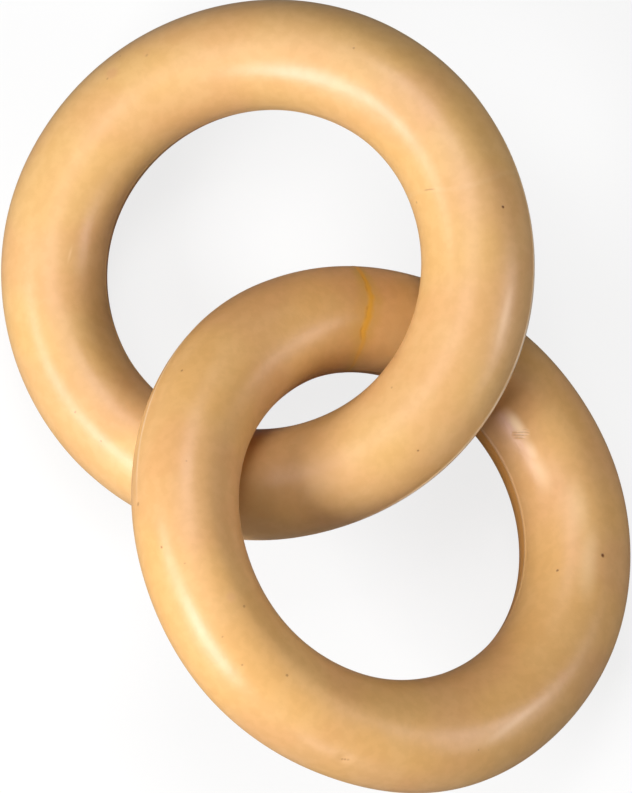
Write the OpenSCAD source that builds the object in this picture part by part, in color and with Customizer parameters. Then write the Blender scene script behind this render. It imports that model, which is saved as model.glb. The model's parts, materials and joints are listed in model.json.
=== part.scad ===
// Rubber chew toy: two solid natural rubber rings, joined like two links of a chain.
// Both rings are moulded whole. The lower one is then cut, threaded through the upper one
// and cemented shut, and the cement shows as an amber line right round its section.
// The toy lies as it settles on a table: each ring leans on the other at both crossings,
// and touches the table under its low side.

/* [Rings] */
// Outside diameter of each ring
ring_od = 150; // [120:1:200]
// Thickness of the solid round section
section_d = 30; // [24:0.5:36]

/* [Linking] */
// Gap left between the two sections where they meet
link_gap = 0.3; // [0.1:0.05:1]
// How much further apart the rings could still be pulled
slack = 11.3; // [6:0.1:20]
// Turn of each ring's tilt axis away from the line between the ring centres
heading = 8; // [0:1:10]

/* [Mould lines] */
// Diameter of the rounded bead left by the mould joint round the outside
bead_d = 1.2; // [0.8:0.1:3]
// How far that bead stands out of the ring
bead_h = 0.25; // [0.1:0.05:0.4]
// Width of the band left round the hole where the mould skin was trimmed off
band_w = 1.6; // [1:0.1:3]
// How far that band stands out of the ring
band_h = 0.3; // [0.1:0.05:0.6]

/* [Cemented cut] */
// Place of the cut round the lower ring
cut_at = -97.1; // [-110:0.1:-60]
// How far the cut slants away from the ring's radius
cut_slant = 8.3; // [0:0.1:20]
// How far the cut leans away from the ring's axis
cut_lean = 3.5; // [0:0.1:10]
// Thickness of the cement in the cut
cement_t = 1.2; // [0.4:0.1:3]
// How far the cement stands out of the ring
cement_h = 0.15; // [0.05:0.05:0.5]

/* [Hidden] */
$fn = 120;

section_r = section_d / 2;
// Radius of a ring's centre line, the circle that its section follows
line_r = (ring_od - section_d) / 2;
// The two centre lines can't come closer than this
line_gap = section_d + link_gap;
// Distance between the ring centres: pulled tight, less the slack
spread = 2 * line_r - line_gap - slack;
// The centre lines lie furthest apart at this tilt, so the resting tilt is below it
steepest_tilt = asin(sqrt(1 - spread / (2 * line_r)));
search_step = 0.5;
search_rounds = 24;
tilt = resting_tilt(0, steepest_tilt, search_rounds);
// Height of the ring centres over the table
rest_h = line_r * sin(tilt) + section_r;
// The slab that cuts the lower ring reaches this far past its section
overrun = section_r / 2;

function about_y(a) = [[cos(a), 0, sin(a)], [0, 1, 0], [-sin(a), 0, cos(a)]];
function about_z(a) = [[cos(a), -sin(a), 0], [sin(a), cos(a), 0], [0, 0, 1]];

// A point of the lower ring's centre line, seen from the midpoint of the two ring centres
function lower_point(a, t) =
    about_z(180)
    * (about_z(-heading) * about_y(-t) * [line_r * cos(a), line_r * sin(a), 0] + [0, spread / 2, 0]);

// The same point, seen from the centre of the upper ring along its own axes
function seen_from_upper(p, t) = about_y(t) * about_z(heading) * (p - [0, spread / 2, 0]);

// Distance from a point, in the upper ring's own axes, to that ring's centre line
function off_line(q) = norm([norm([q.x, q.y]) - line_r, q.z]);

function least_gap(t) =
    min([for (a = [0:search_step:360]) off_line(seen_from_upper(lower_point(a, t), t))]);

// Halves the span of tilts until the sections just clear each other by the link gap
function resting_tilt(low, high, rounds) =
    let (middle = (low + high) / 2)
    rounds < 1 ? middle
    : least_gap(middle) < line_gap ? resting_tilt(middle, high, rounds - 1)
    : resting_tilt(low, middle, rounds - 1);

// The round section, with the outer bead and the inner band that the mould leaves on it
module moulded_section() {
    circle(d = section_d);
    translate([section_r + bead_h - bead_d / 2, 0])
        circle(d = bead_d);
    translate([-section_r - band_h, 0])
        polygon([
            [0, -band_w / 2], [band_h + band_w, -band_w / 2 - band_h],
            [band_h + band_w, band_w / 2 + band_h], [0, band_w / 2]
        ]);
}

// A ring lying flat, centred on its own axis
module moulded_ring() {
    rotate_extrude()
        translate([line_r, 0])
            moulded_section();
}

// The space of the cut through one side of a ring that lies flat
module cut_slab() {
    reach = section_d + 2 * overrun;
    rotate([0, 0, cut_at])
        translate([line_r, 0, 0])
            rotate([-cut_lean, 0, -cut_slant])
                cube([reach, cement_t, reach], center = true);
}

// Moves a ring from flat to where the upper ring lies
module place_upper() {
    translate([0, spread / 2, rest_h])
        rotate([0, -tilt, -heading])
            children();
}

// The lower ring is the upper one turned half round the middle of the toy
module place_lower() {
    rotate([0, 0, 180])
        place_upper()
            children();
}

module upper_ring() {
    color("#DDB070")
        place_upper()
            moulded_ring();
}

module lower_ring() {
    color("#D3A263")
        place_lower()
            difference() {
                moulded_ring();
                cut_slab();
            }
}

module splice_cement() {
    color("#B9752B")
        place_lower()
            intersection() {
                cut_slab();
                rotate_extrude()
                    translate([line_r, 0])
                        circle(d = section_d + 2 * cement_h);
            }
}

upper_ring();
lower_ring();
splice_cement();
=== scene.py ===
import json
import math

import bmesh
import bpy
import numpy as np
from mathutils import Matrix, Vector, noise


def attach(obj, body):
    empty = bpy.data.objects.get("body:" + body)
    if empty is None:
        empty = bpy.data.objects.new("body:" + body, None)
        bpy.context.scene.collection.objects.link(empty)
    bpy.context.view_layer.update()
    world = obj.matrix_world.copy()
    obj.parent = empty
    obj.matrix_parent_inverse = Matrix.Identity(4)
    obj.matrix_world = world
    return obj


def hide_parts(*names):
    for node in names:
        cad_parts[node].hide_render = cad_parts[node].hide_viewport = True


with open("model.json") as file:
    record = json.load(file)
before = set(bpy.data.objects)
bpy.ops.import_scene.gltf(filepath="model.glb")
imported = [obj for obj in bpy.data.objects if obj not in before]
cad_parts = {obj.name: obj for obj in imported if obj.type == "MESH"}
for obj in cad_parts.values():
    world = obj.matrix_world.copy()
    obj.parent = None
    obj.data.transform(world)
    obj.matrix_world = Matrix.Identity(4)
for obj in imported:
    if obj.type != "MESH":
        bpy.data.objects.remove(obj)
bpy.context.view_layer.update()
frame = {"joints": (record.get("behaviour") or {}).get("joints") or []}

# A dog's chew toy: two solid natural rubber rings, linked, the lower one cut and cemented shut.
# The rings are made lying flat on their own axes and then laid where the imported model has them.

MM = 0.001
HALF_TURN = 180.0
FULL_TURN = 360.0

# Sizes of the rings, of the bead round their outside and of the band round their hole
RING_OD = 150 * MM
SECTION_R = 15 * MM
LINE_R = RING_OD / 2 - SECTION_R
BEAD_W = 1.2 * MM
BEAD_H = 0.3 * MM
BAND_W = 1.6 * MM
BAND_H = 0.24 * MM
BAND_EDGE = 3 * BAND_H

# Places of the rings, from the joint between them: the lower is the upper turned half round
LINK = frame["joints"][0]
UPPER_CENTRE = Vector(LINK["pos_m"])
UPPER_AXIS = Vector(LINK["axis"]).normalized()
TILT = math.acos(UPPER_AXIS.z)
HEADING = math.atan2(UPPER_AXIS.y, -UPPER_AXIS.x)
UPPER_PLACE = (
    Matrix.Translation(UPPER_CENTRE)
    @ Matrix.Rotation(-HEADING, 4, "Z")
    @ Matrix.Rotation(-TILT, 4, "Y")
)
LOWER_PLACE = Matrix.Rotation(math.pi, 4, "Z") @ UPPER_PLACE
MIDDLE = Vector((0, 0, UPPER_CENTRE.z))

# How far each ring swells past an even one, in mm, at equal steps round it
UPPER_OUTSIDE = [0.06, 0.09, 0.06, -0.23, -0.13, 0.21, -0.38, -0.43, -0.13, -0.28, 0.37, 0.57]
UPPER_INSIDE = [0.78, 0.35, 0.5, 0.38, -0.05, -0.67, -0.63, -0.43, 0.44, 0.74, 0.47, 0.77]
LOWER_OUTSIDE = [-0.75, -0.25, -0.62, 0.32, -0.44, 0.05, 0.52, -0.11, -0.93, -0.6, 0.04, -0.35]
LOWER_INSIDE = [-0.63, -1.18, 0, 1.17, 0.98, 0.74, 0.24, -0.28, -0.03, -0.02, 0.24, -0.03]
# How fast the swelling fades from the outside and the inside towards the top and the bottom
UPPER_FADE = 3.0
LOWER_FADE = 1.5
# Slight ripple of the skin: its height and its size
RIPPLE = 0.05 * MM
RIPPLE_SIZE = 22 * MM
# How unevenly the mould lines were trimmed away, and over what length that changes
TRIM_LOSS = 0.8
TRIM_SIZE = 14 * MM
# How much the trimming left of the outer bead and the inner band, at equal steps round each ring
UPPER_BEAD = [0.6, 0.2, 0.2, 0.3, 0.3, 0.4, 0.4, 0.3, 0.3, 0.6, 1.0, 1.0]
UPPER_BAND = [0.5, 0.4, 0.4, 0.4, 0.5, 0.6, 0.7, 0.7, 0.7, 0.7, 0.6, 0.5]
LOWER_BEAD = [-0.15, 0.0, 0.0, 0.0, 0.2, 0.4, 0.5, 0.5, 0.5, 0.5, 0.4, 0.3]
LOWER_BAND = [0.2, 0.2, 0.2, 0.3, 0.6, 1.0, 1.0, 1.0, 0.7, 0.4, 0.3, 0.2]

# Small hollows pressed into the skin: degrees round the ring and its section, radius, depth in mm
UPPER_HOLLOWS = [(-5.3, 45.2, 0.9, 0.06), (47.8, 70.8, 1.2, 0.05), (-50.9, 156.8, 2.0, 0.08)]
LOWER_HOLLOWS = [(59.8, 31.9, 1.5, 0.28), (98.8, 107.0, 1.3, 0.1), (-158.0, 131.0, 3.5, 0.12)]
UPPER_SHAPE = (UPPER_OUTSIDE, UPPER_INSIDE, UPPER_FADE, UPPER_HOLLOWS, UPPER_BEAD, UPPER_BAND)
LOWER_SHAPE = (LOWER_OUTSIDE, LOWER_INSIDE, LOWER_FADE, LOWER_HOLLOWS, LOWER_BEAD, LOWER_BAND)
UPPER_RING = (UPPER_PLACE, UPPER_SHAPE)
LOWER_RING = (LOWER_PLACE, LOWER_SHAPE)

# Cut through the lower ring: degrees round it, how it slants and leans, and half its width
CUT_AT = -97.1
CUT_SLANT = math.radians(8.3)
CUT_LEAN = math.radians(3.5)
CUT_HALF = 0.35 * MM
# Degrees beside the cut over which the rows of the mesh turn to run along it
CUT_EASE = 26.0
# How far the hand-made cut strays from a straight one, in mm, at equal steps round the section
CUT_WANDER = [
    -1.0, -1.2, -1.0, -0.5, -0.7, -1.1, -1.35, -0.6, 0.4, -0.4, 0.0, -0.45,
    -0.5, -0.35, -0.2, 0.05, 0.3, 0.45, 0.5, 0.3, 0.1, -0.2, -0.5, -0.75,
]
# Half the width of the cement's line, in mm, at the same steps
CEMENT_WIDTHS = [
    0.4, 0.4, 0.4, 0.45, 0.5, 0.65, 0.8, 0.85, 0.8, 0.6, 0.45, 0.4,
    0.4, 0.5, 0.6, 0.6, 0.5, 0.4, 0.5, 0.6, 0.6, 0.5, 0.4, 0.4,
]
# How much of the amber colour shows, at the same steps
CEMENT_SHOWS = [
    0.3, 0.6, 0.95, 1.0, 1.0, 1.0, 1.0, 1.0, 0.9, 0.7, 0.5, 0.5,
    0.5, 0.6, 0.7, 0.7, 0.6, 0.5, 0.5, 0.6, 0.6, 0.5, 0.3, 0.25,
]
# The cement's rim: half its width, how far it stands out and its edges dip in, and where it starts
CEMENT_HALF = 1.6 * MM
CEMENT_H = 0.02 * MM
CEMENT_DIP = 0.06 * MM
CEMENT_ROOT = 2 * MM
# How ragged the rim's width is, and over what length that changes
CEMENT_RAGGED = 0.4
CEMENT_RAGGED_SIZE = 3 * MM

# Knit line across the upper ring, where the rubber met in the mould, and how it strays, in mm
KNIT_AT = 1.9
KNIT_WANDER = [1.5, 1.2, 0.0, 0.4, 3.0, 4.6, 4.8, 4.0, 2.0, 0.5, -0.5, 0.5]

# Strip under the band, painted brown as the shade of the underside there: degrees of the section past
# the band's middle
STRIP_RISES = 4.0
STRIP_ENDS = 32.0
STRIP_FADES = 12.0
# How strongly the band is painted pale, partly as rubbing and partly as a highlight, as a share of the
# bead
BAND_PALENESS = 0.1

# Mesh steps round the section, round the ring and across the cement's rim
SECTION_STEPS = 168
ROUND_STEPS = 480
ROUND_PARTS = 8
RIM_STEPS = 16
# How strongly the section's points crowd towards the mould lines
EDGE_CROWDING = 0.34
WELD = 0.01 * MM


def on_ring(around, section, reach=SECTION_R):
    """Points beside the centre line of a ring that lies flat: degrees round it and its section."""
    a = np.radians(around)
    s = np.radians(section)
    out = LINE_R + reach * np.cos(s)
    return np.stack((out * np.cos(a), out * np.sin(a), reach * np.sin(s)), axis=-1)


def ring_angles(points):
    """Degrees round the ring and round its section of points in the ring's own axes."""
    out = np.hypot(points[..., 0], points[..., 1])
    around = np.arctan2(points[..., 1], points[..., 0])
    section = np.arctan2(points[..., 2], out - LINE_R)
    return np.degrees(around), np.degrees(section)


def turned_to(angle, middle):
    """The same angle as its turn that lies nearest to a middle one."""
    return angle - FULL_TURN * np.round((angle - middle) / FULL_TURN)


def round_value(values, angle):
    """A smooth value between a list's entries, which stand at equal steps round a circle."""
    place = angle % FULL_TURN / FULL_TURN * len(values)
    first = np.floor(place).astype(int)
    t = place - first
    a, b, c, d = (np.take(values, first + k, mode="wrap") for k in (-1, 0, 1, 2))
    return b + 0.5 * t * (c - a + t * (2 * a - 5 * b + 4 * c - d + t * (3 * (b - c) + d - a)))


def cloudiness(points, size):
    """Smooth noise from about -0.6 to 0.6, with features of this size."""
    return np.array([noise.noise(p) for p in (points / size).tolist()])


def mould_lines(points, bead, band):
    """How much of the outer bead and of the inner band there is at points of the skin, 0 to 1."""
    around, section = ring_angles(points)
    from_outside = np.abs(np.radians(section)) * SECTION_R
    from_inside = math.pi * SECTION_R - from_outside
    left = np.clip(1 + TRIM_LOSS * cloudiness(points, TRIM_SIZE), 0.0, 1.0)
    hump = np.sqrt(np.maximum(0.0, 1 - (from_outside / (BEAD_W / 2)) ** 4))
    edge = np.clip((BAND_W / 2 - from_inside) / BAND_EDGE, 0.0, 1.0)
    step = edge * edge * (3 - 2 * edge)
    hump *= np.maximum(0.0, round_value(bead, around)) * left
    step *= np.maximum(0.0, round_value(band, around)) * left
    return hump, step


def unevenness(points, outside, inside, fade, hollows, bead, band):
    """How far points of the ring's skin stand out of an even ring, in metres."""
    around, section = ring_angles(points)
    facing = np.cos(np.radians(section))
    swell = np.where(facing > 0, round_value(outside, around), round_value(inside, around)) * MM
    height = swell * np.abs(facing) ** fade + RIPPLE * cloudiness(points, RIPPLE_SIZE)
    for at, beside, radius, depth in hollows:
        away = np.linalg.norm(points - on_ring(at, beside), axis=-1) / (radius * MM)
        height -= depth * MM * np.exp(-away * away)
    hump, step = mould_lines(points, bead, band)
    return height + BEAD_H * hump + BAND_H * step


def cut_shift(section, reach):
    """How far round the ring, in metres, the slanting cut lies from its middle at a point."""
    s = np.radians(section)
    slant = -math.tan(CUT_SLANT) * reach * np.cos(s) + math.tan(CUT_LEAN) * reach * np.sin(s)
    return slant + round_value(CUT_WANDER, section) * MM * (reach / SECTION_R) ** 2


def along_from(points, at, shift):
    """How far points lie from a line across the ring, in mm along the ring."""
    around = turned_to(ring_angles(points)[0], at)
    out = np.hypot(points[..., 0], points[..., 1])
    return (np.radians(around - at) * out - shift) / MM


def section_circle(bm):
    """The round section as a ring of edges, with its points crowded towards both mould lines."""
    bmesh.ops.create_circle(bm, segments=SECTION_STEPS, radius=SECTION_R)
    for v in bm.verts:
        s = math.atan2(v.co.y, v.co.x)
        s -= EDGE_CROWDING * math.sin(2 * s)
        v.co = on_ring(0.0, math.degrees(s))


def sweep_round(bm, angle):
    """Sweeps the section round the ring's axis: one part in steps, then copies of that part."""
    part = angle / ROUND_PARTS
    axis = {"cent": (0, 0, 0), "axis": (0, 0, 1)}
    bmesh.ops.spin(bm, geom=bm.verts[:] + bm.edges[:], angle=part,
                   steps=ROUND_STEPS // ROUND_PARTS, **axis)
    bmesh.ops.spin(bm, geom=bm.verts[:] + bm.edges[:] + bm.faces[:], angle=angle - part,
                   steps=ROUND_PARTS - 1, use_duplicate=True, **axis)
    bmesh.ops.remove_doubles(bm, verts=bm.verts, dist=WELD)


def as_piece(bm, name):
    """Makes a smooth-shaded object of a mesh, at the origin."""
    mesh = bpy.data.meshes.new(name)
    bm.to_mesh(mesh)
    bm.free()
    mesh.shade_smooth()
    piece = bpy.data.objects.new(name, mesh)
    bpy.context.scene.collection.objects.link(piece)
    return piece


def points_of(mesh):
    """The places of a mesh's vertices, one row each."""
    flat = np.zeros(len(mesh.vertices) * 3)
    mesh.vertices.foreach_get("co", flat)
    return flat.reshape(-1, 3)


def add_map(mesh, points):
    """A map in millimetres: along the ring's centre line, and round its section from the outside."""
    corner = np.zeros(len(mesh.loops), int)
    mesh.loops.foreach_get("vertex_index", corner)
    start = np.zeros(len(mesh.polygons), int)
    count = np.zeros(len(mesh.polygons), int)
    mesh.polygons.foreach_get("loop_start", start)
    mesh.polygons.foreach_get("loop_total", count)
    first = np.repeat(corner[start], count)
    around, section = ring_angles(points)
    along = np.radians(turned_to(around[corner], around[first])) * LINE_R / MM
    across = np.radians(turned_to(section[corner], section[first])) * SECTION_R / MM
    layer = mesh.uv_layers.new(name="skin")
    layer.data.foreach_set("uv", np.stack((along, across), axis=-1).ravel())


def add_values(mesh, name, values):
    """Stores one number for each vertex, which the materials read by this name."""
    mesh.attributes.new(name, "FLOAT", "POINT").data.foreach_set("value", values)


def add_pale_lines_and_shade_strip(mesh, points, bead, band):
    """Stores where the mould lines are pale, partly from rubbing and partly as a painted highlight, and
    where the strip under the band is painted brown as shade.
    """
    hump, step = mould_lines(points, bead, band)
    around, section = ring_angles(points)
    below = turned_to(section, HALF_TURN) - HALF_TURN
    strip = np.clip(below / STRIP_RISES, 0, 1) * np.clip((STRIP_ENDS - below) / STRIP_FADES, 0, 1)
    # Pale mould lines: partly rubbing, partly a painted highlight; brown strip: painted shade
    add_values(mesh, "rubbed_and_highlight", np.maximum(hump, BAND_PALENESS * step))
    add_values(mesh, "trimmed", strip * np.maximum(0.0, round_value(band, around)))


def lay(mesh, points, place):
    """Lays a ring's points in their place; rubber that would sink into the table flattens on it."""
    turn = np.array(place.to_3x3())
    laid = points @ turn.T + np.array(place.translation)
    laid[:, 2] = np.maximum(laid[:, 2], 0.0)
    mesh.vertices.foreach_set("co", laid.ravel())
    mesh.update()


def swollen(points, *shape):
    """Points of a ring's skin after its swelling, its mould lines and its hollows."""
    around, section = ring_angles(points)
    on_skin = np.linalg.norm(points - on_ring(around, section), axis=-1) < SECTION_R / 2
    reach = SECTION_R + unevenness(points, *shape)
    return np.where(on_skin[:, None], on_ring(around, section, reach), points)


def make_upper_ring():
    """A whole ring, which stores how far its skin is from the knit line."""
    bm = bmesh.new()
    section_circle(bm)
    sweep_round(bm, math.tau)
    bmesh.ops.recalc_face_normals(bm, faces=bm.faces)
    ring = as_piece(bm, "rubber_ring_upper")
    points = points_of(ring.data)
    add_map(ring.data, points)
    wander = round_value(KNIT_WANDER, ring_angles(points)[1]) * MM
    add_values(ring.data, "from_join", along_from(points, KNIT_AT, wander))
    add_pale_lines_and_shade_strip(ring.data, points, UPPER_BEAD, UPPER_BAND)
    lay(ring.data, swollen(points, *UPPER_SHAPE), UPPER_PLACE)
    return ring


def make_lower_ring():
    """A ring that starts and ends at the cut, where its skin slides over to the slanting faces."""
    gap = 2 * CUT_HALF / LINE_R
    bm = bmesh.new()
    section_circle(bm)
    sweep_round(bm, math.tau - gap)
    bmesh.ops.rotate(bm, cent=(0, 0, 0), verts=bm.verts,
                     matrix=Matrix.Rotation(math.radians(CUT_AT) + gap / 2, 3, "Z"))
    ends = [e for e in bm.edges if e.is_boundary]
    bmesh.ops.edgeloop_fill(bm, edges=ends)
    for e in ends:
        e.smooth = False
    bmesh.ops.recalc_face_normals(bm, faces=bm.faces)
    ring = as_piece(bm, "rubber_ring_lower")
    points = points_of(ring.data)
    around, section = ring_angles(points)
    off = turned_to(around, CUT_AT) - CUT_AT
    ease = np.maximum(0.0, 1 - np.abs(off) / CUT_EASE) ** 2
    slide = cut_shift(section, SECTION_R) / np.hypot(points[:, 0], points[:, 1])
    points = on_ring(around + np.degrees(slide) * ease, section)
    add_map(ring.data, points)
    from_cut = along_from(points, CUT_AT, cut_shift(section, SECTION_R))
    add_values(ring.data, "from_join", from_cut / round_value(CEMENT_WIDTHS, section))
    add_values(ring.data, "cement_shows", round_value(CEMENT_SHOWS, section))
    add_pale_lines_and_shade_strip(ring.data, points, LOWER_BEAD, LOWER_BAND)
    lay(ring.data, swollen(points, *LOWER_SHAPE), LOWER_PLACE)
    return ring


def make_cement():
    """The cement: a disc in the cut, with an uneven rim smoothed over the skin on both sides."""
    bm = bmesh.new()
    path = [(-CUT_HALF, 0.0), (-CUT_HALF, SECTION_R - CEMENT_ROOT)]
    path += [(CEMENT_HALF * (2 * k / RIM_STEPS - 1), SECTION_R) for k in range(RIM_STEPS + 1)]
    path += [(CUT_HALF, SECTION_R - CEMENT_ROOT), (CUT_HALF, 0.0)]
    corners = [bm.verts.new((w, reach, 0)) for w, reach in path]
    for a, b in zip(corners, corners[1:]):
        bm.edges.new((a, b))
    bmesh.ops.spin(bm, geom=bm.verts[:] + bm.edges[:], cent=(0, 0, 0), axis=(1, 0, 0),
                   angle=math.tau, steps=SECTION_STEPS, use_merge=True)
    bmesh.ops.remove_doubles(bm, verts=bm.verts, dist=WELD)
    bmesh.ops.recalc_face_normals(bm, faces=bm.faces)
    disc = as_piece(bm, "cement_line")
    points = points_of(disc.data)
    across = -points[:, 0]
    section = np.degrees(np.arctan2(points[:, 2], points[:, 1]))
    reach = np.hypot(points[:, 1], points[:, 2])
    spot = on_ring(CUT_AT, section)
    ragged = 1 + CEMENT_RAGGED * cloudiness(spot, CEMENT_RAGGED_SIZE)
    width = round_value(CEMENT_WIDTHS, section) * ragged * MM
    rise = np.maximum(-CEMENT_DIP, CEMENT_H * (1 - (across / width) ** 2))
    rise += unevenness(spot, *LOWER_SHAPE)
    reach += np.where(reach > SECTION_R - CEMENT_ROOT / 2, rise, 0.0)
    out = LINE_R + reach * np.cos(np.radians(section))
    turn = np.degrees((across + cut_shift(section, reach)) / out)
    points = on_ring(CUT_AT + turn, section, reach)
    add_map(disc.data, points)
    add_values(disc.data, "from_join", across / MM / round_value(CEMENT_WIDTHS, section))
    add_values(disc.data, "cement_shows", round_value(CEMENT_SHOWS, section))
    add_pale_lines_and_shade_strip(disc.data, points, LOWER_BEAD, LOWER_BAND)
    lay(disc.data, points, LOWER_PLACE)
    return disc


# Materials

def colour(code):
    """A linear colour from its sRGB hex code."""
    parts = [int(code[k:k + 2], 16) / 255 for k in (1, 3, 5)]
    return tuple(c / 12.92 if c <= 0.04045 else ((c + 0.055) / 1.055) ** 2.4 for c in parts) + (1.0,)


def per_metre(size):
    """The scale of a pattern whose features are this size, in metres."""
    return 1 / size


def add_node(tree, kind, inputs=None, give=0, **settings):
    """Adds a node, sets it up, links or sets its inputs by name or number and gives an output."""
    node = tree.nodes.new(kind)
    for name, value in settings.items():
        setattr(node, name, value)
    for name, value in (inputs or {}).items():
        if isinstance(value, bpy.types.NodeSocket):
            tree.links.new(value, node.inputs[name])
        else:
            node.inputs[name].default_value = value
    return node.outputs[give] if node.outputs else node


def new_material(name):
    """A material whose node tree starts empty."""
    material = bpy.data.materials.new(name)
    material.use_nodes = True
    material.node_tree.nodes.clear()
    return material


# Nearly all of a noise texture's values lie between these
NOISE_LOW = 0.38
NOISE_HIGH = 0.62


def patches(tree, place, size, low, high, detail=2.0):
    """Soft patches of this size, in metres, that go from a low value to a high one."""
    cloud = add_node(tree, "ShaderNodeTexNoise", {
        "Vector": place, "Scale": per_metre(size), "Detail": detail})
    return add_node(tree, "ShaderNodeMapRange", {
        0: cloud, 1: NOISE_LOW, 2: NOISE_HIGH, 3: low, 4: high}, interpolation_type="SMOOTHSTEP")


def stroke(tree, distance, middle, half, core=0.25):
    """A soft line: 1 within this core of its half width from its middle, 0 beyond the half width."""
    off = add_node(tree, "ShaderNodeMath", {0: distance, 1: middle}, operation="SUBTRACT")
    away = add_node(tree, "ShaderNodeMath", {0: off}, operation="ABSOLUTE")
    return add_node(tree, "ShaderNodeMapRange", {
        0: away, 1: half * core, 2: half, 3: 1.0, 4: 0.0}, interpolation_type="SMOOTHSTEP")


def both(tree, first, second):
    """Where two masks meet, or a mask at part of its strength."""
    return add_node(tree, "ShaderNodeMath", {0: first, 1: second}, operation="MULTIPLY")


def tinted(tree, base, tint, mask):
    """The base with a tint over it where the mask is: the tint's colour and its full strength."""
    code, most = tint
    amount = both(tree, mask, most)
    return add_node(tree, "ShaderNodeMix", {0: amount, 6: base, 7: colour(code)}, 2, data_type="RGBA")


def skin_point(around, section, ring):
    """A place on a ring's uneven skin: degrees round the ring and its section."""
    laid, shape = ring
    height = unevenness(on_ring(around, section)[None], *shape)[0]
    return laid @ Vector(on_ring(around, section, SECTION_R + height))


# How ragged the outlines of the specks are, and the size of their jags
RAGGED = 0.5 * MM
RAGGED_SIZE = 0.9 * MM
SPOT_CORE = 0.35


def spots(tree, place, marks, ring):
    """One mask for all marks on a ring: degrees round it and its section, radius in mm, strength."""
    ragged = add_node(tree, "ShaderNodeTexNoise", {
        "Vector": place, "Scale": per_metre(RAGGED_SIZE), "Detail": 2.0}, 1)
    pushed = add_node(tree, "ShaderNodeVectorMath", {
        0: ragged, 1: (RAGGED,) * 3, 2: place}, operation="MULTIPLY_ADD")
    centred = add_node(tree, "ShaderNodeVectorMath", {
        0: pushed, 1: (RAGGED / 2,) * 3}, operation="SUBTRACT")
    mask = 0.0
    for around, section, radius, strength in marks:
        point = skin_point(around, section, ring)
        away = add_node(tree, "ShaderNodeVectorMath", {0: centred, 1: point}, 1, operation="DISTANCE")
        spot = add_node(tree, "ShaderNodeMapRange", {
            0: away, 1: radius * MM * SPOT_CORE, 2: radius * MM, 3: strength, 4: 0.0},
            interpolation_type="SMOOTHSTEP")
        mask = add_node(tree, "ShaderNodeMath", {0: spot, 1: mask}, operation="MAXIMUM")
    return mask


def streaks(tree, place, marks, ring):
    """One mask for soft long marks: middle and tip in degrees, half width in mm, strength."""
    mask = 0.0
    for middle, tip, half, strength in marks:
        centre = skin_point(*middle, ring)
        run = skin_point(*tip, ring) - centre
        squash = 1 - half * MM / run.length
        off = add_node(tree, "ShaderNodeVectorMath", {0: place, 1: centre}, operation="SUBTRACT")
        along = add_node(tree, "ShaderNodeVectorMath", {
            0: off, 1: run * squash / run.length_squared}, 1, operation="DOT_PRODUCT")
        pulled = add_node(tree, "ShaderNodeVectorMath", {0: run, "Scale": along}, operation="SCALE")
        away = add_node(tree, "ShaderNodeVectorMath", {0: off, 1: pulled}, 1, operation="DISTANCE")
        streak = add_node(tree, "ShaderNodeMapRange", {
            0: away, 1: 0.0, 2: half * MM, 3: strength, 4: 0.0}, interpolation_type="SMOOTHSTEP")
        mask = add_node(tree, "ShaderNodeMath", {0: streak, 1: mask}, operation="MAXIMUM")
    return mask


# Each ring's look. Its tones are the plain, warmer, paler and mottled ones of its batch of rubber.
# Specks and scuffs are given by degrees round the ring and its section, radius in mm and strength;
# places painted dark as shade where the rings touch, and places painted pale as highlights (one of them
# a pale scratch), by their middle and tip in degrees, half width and strength.
UPPER_LOOK = {
    "tones": ("#DAAD6F", "#D9A971", "#DEB67D", "#C0904F"),
    "specks": [
        (-5.3, 45.2, 0.55, 0.95), (47.8, 70.8, 0.5, 0.35), (30.7, 20.3, 0.4, 0.3),
        (3.2, 144.8, 0.6, 0.35), (-50.9, 156.8, 0.55, 0.6), (-58.9, 120.3, 0.4, 0.3),
        (-65.6, 49.7, 0.4, 0.6), (101.0, 65.8, 0.6, 0.25), (106.9, 42.9, 0.35, 0.35),
        (-158.1, 73.8, 0.45, 0.4), (-148.3, 72.8, 0.4, 0.35), (112.0, 61.0, 0.5, 0.3),
    ],
    "scuffs": [(110.4, 59.0, 2.6, 0.8), (101.0, 63.0, 1.6, 0.4), (-50.9, 150.0, 2.0, 0.3)],
    # Painted shade where the rings touch
    "contact_shade": [((-104.5, 68.0), (-104.5, 10.0), 12.0, 0.8)],
    # Painted highlights, and one pale scratch
    "pale": [((-29.0, 41.0), (-42.0, 37.0), 1.9, 0.35), ((159.0, 120.0), (163.0, 117.0), 0.6, 0.25)],
}
LOWER_LOOK = {
    "tones": ("#DAA96A", "#D7A46C", "#DCB178", "#BC8C4B"),
    "specks": [
        (158.7, 87.3, 0.75, 1.0), (152.0, 134.0, 0.55, 0.75), (-44.6, 32.6, 0.5, 0.5),
        (-14.1, 1.9, 0.7, 0.4), (-3.1, 28.6, 0.5, 0.5), (17.2, 89.3, 0.55, 0.4),
        (37.4, 76.9, 0.5, 0.5), (28.3, 50.6, 0.4, 0.35), (91.8, 56.3, 0.35, 0.4),
        (59.7, 28.9, 0.5, 0.3), (60.3, 30.0, 0.5, 0.4), (60.9, 31.2, 0.5, 0.3),
        (20.6, 52.0, 0.4, 0.3), (-22.0, 65.4, 0.4, 0.25), (2.1, 49.9, 0.4, 0.25),
    ],
    "scuffs": [(13.6, 81.3, 1.8, 0.6), (122.0, 80.0, 2.5, 0.3)],
    # Painted shade where the rings touch
    "contact_shade": [((-109.5, 118.0), (-109.5, 180.0), 12.5, 0.8)],
    # Painted highlights
    "pale": [
        ((-156.5, 138.0), (-165.0, 137.5), 2.5, 1.0), ((-166.5, 139.5), (-173.5, 139.0), 2.4, 0.55),
        ((-173.5, 140.5), (-184.0, 137.0), 3.6, 0.48),
        ((172.0, 110.0), (158.0, 103.0), 4.5, 0.3), ((156.0, 103.0), (140.0, 93.0), 4.4, 0.4),
        ((103.0, 71.5), (121.0, 74.0), 1.8, 0.3),
    ],
}
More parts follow.
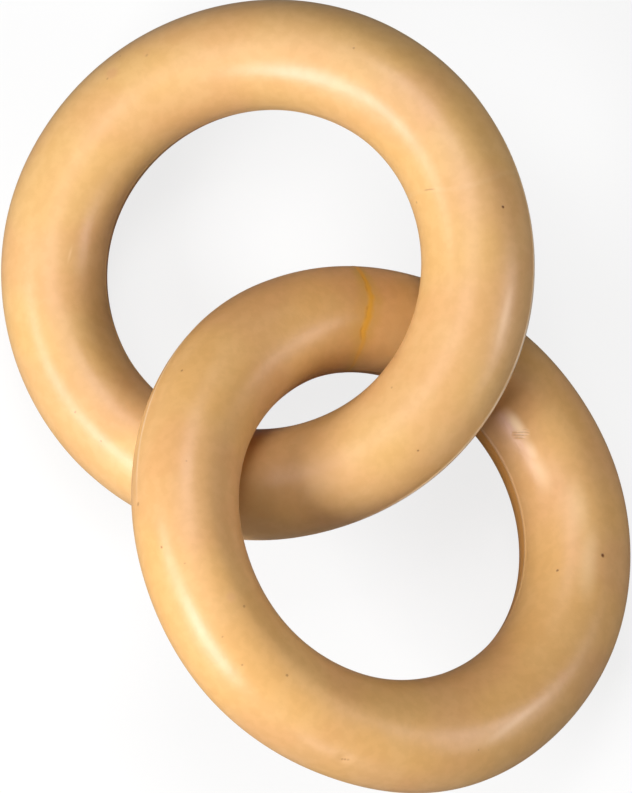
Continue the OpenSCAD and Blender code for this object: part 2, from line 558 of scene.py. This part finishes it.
# Pinched creases beside the crossing, given as specks are
LOWER_CREASES = [(-159.3, 145.0, 1.6, 0.8), (-159.9, 140.5, 1.8, 1.0), (-160.2, 135.5, 1.6, 0.8)]

# Tints over the plain rubber: their colour, and how strongly they cover it
# Painted shade on the underside beside the band
PAINTED_UNDERSIDE_SHADE = ("#C98634", 0.6)
# Pale mould lines: partly rubbing, partly a painted highlight
RUBBED_AND_HIGHLIGHT = ("#F0DDC3", 0.9)
# Painted shade where the rings touch
PAINTED_CONTACT_SHADE = ("#B08A58", 0.75)
# Painted highlights, and one pale scratch
PAINTED_HIGHLIGHTS_AND_SCRATCH = ("#FCDAAD", 1.0)
SCUFFED = ("#D29A70", 0.5)
# Darker in the deepest parts of the creases
CREASE_DARKENING = ("#8C6236", 0.45)
SPECK = ("#6E3F1A", 1.0)
KNIT_SIDE = ("#E4C392", 0.12)
KNIT_DARK = ("#966334", 0.45)

# Clouds of the warmer, paler and mottled tones: their size, their strength and their detail
CLOUDS = [(26 * MM, 1.0, 0.0), (11 * MM, 0.25, 0.0), (3 * MM, 0.16, 2.0)]


def tan_rubber(tree, place, tones):
    """Colour of the rubber: tan, clouded warmer and paler, with pale mould lines, partly rubbing and
    partly a painted highlight, over a brown strip of painted shade.
    """
    base = colour(tones[0])
    for code, (size, most, detail) in zip(tones[1:], CLOUDS):
        base = tinted(tree, base, (code, most), patches(tree, place, size, 0.0, 1.0, detail))
    # Painted shade on the underside beside the band
    trimmed = add_node(tree, "ShaderNodeAttribute", None, "Fac", attribute_name="trimmed")
    base = tinted(tree, base, PAINTED_UNDERSIDE_SHADE, trimmed)
    # Pale mould lines: partly rubbing, partly a painted highlight
    rubbed_and_highlight = add_node(tree, "ShaderNodeAttribute", None, "Fac", attribute_name="rubbed_and_highlight")
    return tinted(tree, base, RUBBED_AND_HIGHLIGHT, rubbed_and_highlight)


# Layers of the cement's line: colour and strength; middle, half width and core of the stroke, in
# widths of the line; size and least strength of the patches it comes in
CEMENT_LAYERS = {
    "stain": ("#CBA04C", 0.8, 0.5, 8.0, 0.15, 9 * MM, 0.6),
    "core": ("#E2A52E", 0.85, 0.0, 2.3, 0.1, 8 * MM, 0.65),
    "rim": ("#AA6A2C", 0.35, 0.9, 0.7, 0.25, 4 * MM, 0.0),
}
# How far the line's edges stray, in widths of the line, and over what length
CEMENT_STRAYS = 0.25
CEMENT_STRAY_SIZE = 3 * MM


def amber(tree, place, distance, base):
    """Stains the rubber beside the cut and colours the cement in it, which darkens to one edge."""
    shows = add_node(tree, "ShaderNodeAttribute", None, "Fac", attribute_name="cement_shows")
    stray = patches(tree, place, CEMENT_STRAY_SIZE, -CEMENT_STRAYS, CEMENT_STRAYS, 1.0)
    strayed = add_node(tree, "ShaderNodeMath", {0: distance, 1: stray}, operation="ADD")
    masks = {}
    for layer, (code, most, middle, half, core, size, least) in CEMENT_LAYERS.items():
        line = stroke(tree, strayed, middle, half, core)
        masks[layer] = both(tree, line, patches(tree, place, size, least, 1.0))
        base = tinted(tree, base, (code, most), both(tree, masks[layer], shows))
    return base, masks["core"]


# The knit line's pale side: mm from the line and half its width, in mm
KNIT_PALE = (-0.8, 1.1)
# Its dark dash: the same, then its place round the section, half its length and its core
KNIT_DASH = (-0.6, 0.35)
KNIT_DASH_ROUND = (31.3, 2.4, 0.3)


def knit_line(tree, distance, base):
    """A faint line across the ring, paler on one side, with one short dark dash in it."""
    skin_map = add_node(tree, "ShaderNodeUVMap", uv_map="skin")
    across = add_node(tree, "ShaderNodeSeparateXYZ", {0: skin_map}, 1)
    base = tinted(tree, base, KNIT_SIDE, stroke(tree, distance, *KNIT_PALE))
    dash = both(tree, stroke(tree, distance, *KNIT_DASH), stroke(tree, across, *KNIT_DASH_ROUND))
    return tinted(tree, base, KNIT_DARK, dash)


# Wrinkles 0.9 mm apart on a map in mm: the bands of a wave of scale 1 are 0.314 apart
CREASE_SCALE = 0.35
CREASE_SLANT = math.radians(38)
# Where the creases begin to be darkened and where they are darkened fully, 1 being their deepest
CREASE_DARK_BEGINS = 0.35
CREASE_DARK_FULL = 0.9


def creases(tree, place, marks, ring):
    """Short slanting wrinkles in the places where the rubber was pinched."""
    skin_map = add_node(tree, "ShaderNodeUVMap", uv_map="skin")
    slanted = add_node(tree, "ShaderNodeVectorRotate", {
        "Vector": skin_map, "Angle": CREASE_SLANT}, rotation_type="Z_AXIS")
    wave = add_node(tree, "ShaderNodeTexWave", {
        "Vector": slanted, "Scale": CREASE_SCALE, "Distortion": 1.5, "Detail": 1.0,
        "Detail Scale": 0.5}, 1, wave_type="BANDS", bands_direction="X")
    return both(tree, wave, spots(tree, place, marks, ring))


# The faint bloom on the rubber turns its gloss pinkish
GLOSS_TINT = "#FFE9F6"
RUBBER_IOR = 1.52
# The grain of the skin, drawn coarser than life so that it shows: size, bump and height
GRAIN_SIZE = 1.3 * MM
GRAIN_STRENGTH = 0.15
GRAIN_HEIGHT = 0.2 * MM
# How far specks and creases go down, in heights of the grain
PIT_DEPTH = -4.0
CREASE_DEPTH = -9.0


def skin(tree, place, base, roughness, pits, creased=0.0):
    """The satin skin with its fine grain, its specks' pits and its creases."""
    grain = add_node(tree, "ShaderNodeTexNoise", {
        "Vector": place, "Scale": per_metre(GRAIN_SIZE), "Detail": 2.0})
    height = add_node(tree, "ShaderNodeMath", {
        0: pits, 1: PIT_DEPTH, 2: grain}, operation="MULTIPLY_ADD")
    height = add_node(tree, "ShaderNodeMath", {
        0: creased, 1: CREASE_DEPTH, 2: height}, operation="MULTIPLY_ADD")
    relief = add_node(tree, "ShaderNodeBump", {
        "Height": height, "Strength": GRAIN_STRENGTH, "Distance": GRAIN_HEIGHT})
    shader = add_node(tree, "ShaderNodeBsdfPrincipled", {
        "Base Color": base, "Roughness": roughness, "IOR": RUBBER_IOR,
        "Specular Tint": colour(GLOSS_TINT), "Normal": relief})
    add_node(tree, "ShaderNodeOutputMaterial", {"Surface": shader})


# Roughness of the rubber in its glossiest and dullest patches, their size, and what a scuff adds
SATIN = (0.34, 0.38)
SATIN_SIZE = 12 * MM
SCUFF_DULLER = 0.1
# Roughness of the cement's thin edge and of its thick middle
CEMENT_SATIN = 0.36
CEMENT_GLOSS = 0.3


def rubber(name, look, ring, cemented):
    """Moulded natural rubber, unfilled and undyed: tan and a little cloudy, with a satin skin."""
    material = new_material(name)
    tree = material.node_tree
    place = add_node(tree, "ShaderNodeTexCoord", None, "Object")
    distance = add_node(tree, "ShaderNodeAttribute", None, "Fac", attribute_name="from_join")
    base = tan_rubber(tree, place, look["tones"])
    # Painted shade where the rings touch
    base = tinted(tree, base, PAINTED_CONTACT_SHADE, streaks(tree, place, look["contact_shade"], ring))
    # Painted highlights, and one pale scratch
    base = tinted(tree, base, PAINTED_HIGHLIGHTS_AND_SCRATCH, streaks(tree, place, look["pale"], ring))
    scuffed = spots(tree, place, look["scuffs"], ring)
    base = tinted(tree, base, SCUFFED, scuffed)
    creased = 0.0
    if cemented:
        base = amber(tree, place, distance, base)[0]
        creased = creases(tree, place, LOWER_CREASES, ring)
        # Darker in the deepest parts of the creases
        crease_darkening = add_node(tree, "ShaderNodeMapRange", {0: creased, 1: CREASE_DARK_BEGINS, 2: CREASE_DARK_FULL})
        base = tinted(tree, base, CREASE_DARKENING, crease_darkening)
    else:
        base = knit_line(tree, distance, base)
    pits = spots(tree, place, look["specks"], ring)
    base = tinted(tree, base, SPECK, pits)
    satin = add_node(tree, "ShaderNodeMath", {
        0: scuffed, 1: SCUFF_DULLER, 2: patches(tree, place, SATIN_SIZE, *SATIN, 0.0)},
        operation="MULTIPLY_ADD")
    skin(tree, place, base, satin, pits, creased)
    return material


def cement():
    """Rubber cement, cured: a clear amber over the tan rubber, glossier where it is thick."""
    material = new_material("amber_rubber_cement")
    tree = material.node_tree
    place = add_node(tree, "ShaderNodeTexCoord", None, "Object")
    distance = add_node(tree, "ShaderNodeAttribute", None, "Fac", attribute_name="from_join")
    base, core = amber(tree, place, distance, tan_rubber(tree, place, LOWER_LOOK["tones"]))
    gloss = add_node(tree, "ShaderNodeMapRange", {0: core, 3: CEMENT_SATIN, 4: CEMENT_GLOSS})
    skin(tree, place, base, gloss, 0.0)
    return material


# Camera: where the photograph was taken from, steeply above the toy

CAMERA_AZIMUTH = math.radians(-50.2)
CAMERA_ELEVATION = math.radians(75.5)
CAMERA_ROLL = math.radians(26.92)
CAMERA_DISTANCE = 3.0
PHOTO_W = 632
PHOTO_H = 793
PIXELS_PER_METRE = 3643.1
# Where the middle between the rings falls in the photograph
MIDDLE_PIXEL = (323.67, 397.9)
SENSOR_MM = 36
NEAR_CLIP = 0.1
FAR_CLIP = 100

back = Vector((
    math.sin(CAMERA_AZIMUTH) * math.cos(CAMERA_ELEVATION),
    -math.cos(CAMERA_AZIMUTH) * math.cos(CAMERA_ELEVATION),
    math.sin(CAMERA_ELEVATION),
))
level = Vector((0, 0, 1)).cross(back).normalized()
right = Matrix.Rotation(CAMERA_ROLL, 3, back) @ level
up = back.cross(right)
aim = (
    MIDDLE
    + right * (PHOTO_W / 2 - MIDDLE_PIXEL[0]) / PIXELS_PER_METRE
    + up * (MIDDLE_PIXEL[1] - PHOTO_H / 2) / PIXELS_PER_METRE
)
view_turn = Matrix((right, up, back)).transposed().to_4x4()
lens = bpy.data.cameras.new("camera")
lens.sensor_width = SENSOR_MM
lens.lens = SENSOR_MM * PIXELS_PER_METRE * CAMERA_DISTANCE / PHOTO_H
lens.clip_start = NEAR_CLIP
lens.clip_end = FAR_CLIP
camera = bpy.data.objects.new("camera", lens)
camera.matrix_world = Matrix.Translation(aim + back * CAMERA_DISTANCE) @ view_turn
bpy.context.scene.collection.objects.link(camera)
bpy.context.scene.camera = camera


# Light

LAMP_DISTANCE = 1.2
BOX = 0.32
WIDE_BOX = 0.45
WIDEST_BOX = 0.64
# Two key boxes side by side at the left, weaker ones beside and above them, low ones at the right:
# degrees off the camera's axis and anticlockwise from its right, width of the box, watts
LAMPS = [
    ("key_left", 48, 200, BOX, 5.20),
    ("key_low", 48, 220, BOX, 8.64),
    ("key_wing", 58, 180, BOX, 3.43),
    ("key_edge", 70, 216, BOX, 1.15),
    ("fill_near", 22, 135, WIDEST_BOX, 3.33),
    ("fill_top", 38, 90, WIDE_BOX, 3.85),
    ("fill_right", 58, 0, BOX, 1.56),
    ("rim_right", 70, 0, BOX, 1.98),
    ("rim_low", 70, 342, BOX, 1.77),
    ("rim_bottom", 70, 270, BOX, 1.25),
]


def softbox(name, off_axis, clock, width, power):
    """A square soft lamp that faces the toy."""
    t = math.radians(off_axis)
    c = math.radians(clock)
    towards = back * math.cos(t) + (right * math.cos(c) + up * math.sin(c)) * math.sin(t)
    lamp = bpy.data.lights.new(name, "AREA")
    lamp.shape = "SQUARE"
    lamp.size = width
    lamp.energy = power
    box = bpy.data.objects.new(name, lamp)
    box.rotation_mode = "QUATERNION"
    box.rotation_quaternion = towards.to_track_quat("Z", "Y")
    box.location = MIDDLE + towards * LAMP_DISTANCE
    bpy.context.scene.collection.objects.link(box)


for lamp_settings in LAMPS:
    softbox(*lamp_settings)


def white_room():
    """Plain white where the camera sees past the floor; the room itself gives no light."""
    world = bpy.data.worlds.new("white_room")
    world.use_nodes = True
    tree = world.node_tree
    tree.nodes.clear()
    ray = add_node(tree, "ShaderNodeLightPath", None, "Is Camera Ray")
    light = add_node(tree, "ShaderNodeBackground", {"Color": (1, 1, 1, 1), "Strength": ray})
    add_node(tree, "ShaderNodeOutputWorld", {"Surface": light})
    bpy.context.scene.world = world


white_room()

# The table top: half its width, the greys by which it lights the toy and by which the camera sees
# it, and how much of what the camera sees is its own plain white
FLOOR_HALF = 4.0
FLOOR_LIGHTS = 0.2
FLOOR_SEEN = 0.86
FLOOR_WHITE = 0.8


def make_floor():
    """A plain pale table top, which the camera sees nearly white around the toy and its shadow."""
    bm = bmesh.new()
    bmesh.ops.create_grid(bm, x_segments=1, y_segments=1, size=FLOOR_HALF)
    floor = as_piece(bm, "floor")
    material = new_material("matt_white_table")
    tree = material.node_tree
    ray = add_node(tree, "ShaderNodeLightPath", None, "Is Camera Ray")
    paint = add_node(tree, "ShaderNodeMix", {
        0: ray, 6: (FLOOR_LIGHTS,) * 3 + (1,), 7: (FLOOR_SEEN,) * 3 + (1,)}, 2, data_type="RGBA")
    board = add_node(tree, "ShaderNodeBsdfDiffuse", {"Color": paint})
    white = add_node(tree, "ShaderNodeEmission", {"Strength": 1.0})
    seen = both(tree, ray, FLOOR_WHITE)
    surface = add_node(tree, "ShaderNodeMixShader", {0: seen, 1: board, 2: white})
    add_node(tree, "ShaderNodeOutputMaterial", {"Surface": surface})
    floor.data.materials.append(material)


make_floor()

upper = make_upper_ring()
upper.data.materials.append(rubber("moulded_natural_rubber", UPPER_LOOK, UPPER_RING, False))
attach(upper, "upper_ring")
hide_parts("upper_ring")

lower = make_lower_ring()
lower.data.materials.append(rubber("cemented_natural_rubber", LOWER_LOOK, LOWER_RING, True))
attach(lower, "lower_ring")
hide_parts("lower_ring")

cement_line = make_cement()
cement_line.data.materials.append(cement())
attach(cement_line, "lower_ring")
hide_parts("splice_cement")

bpy.context.scene.view_settings.view_transform = "Standard"
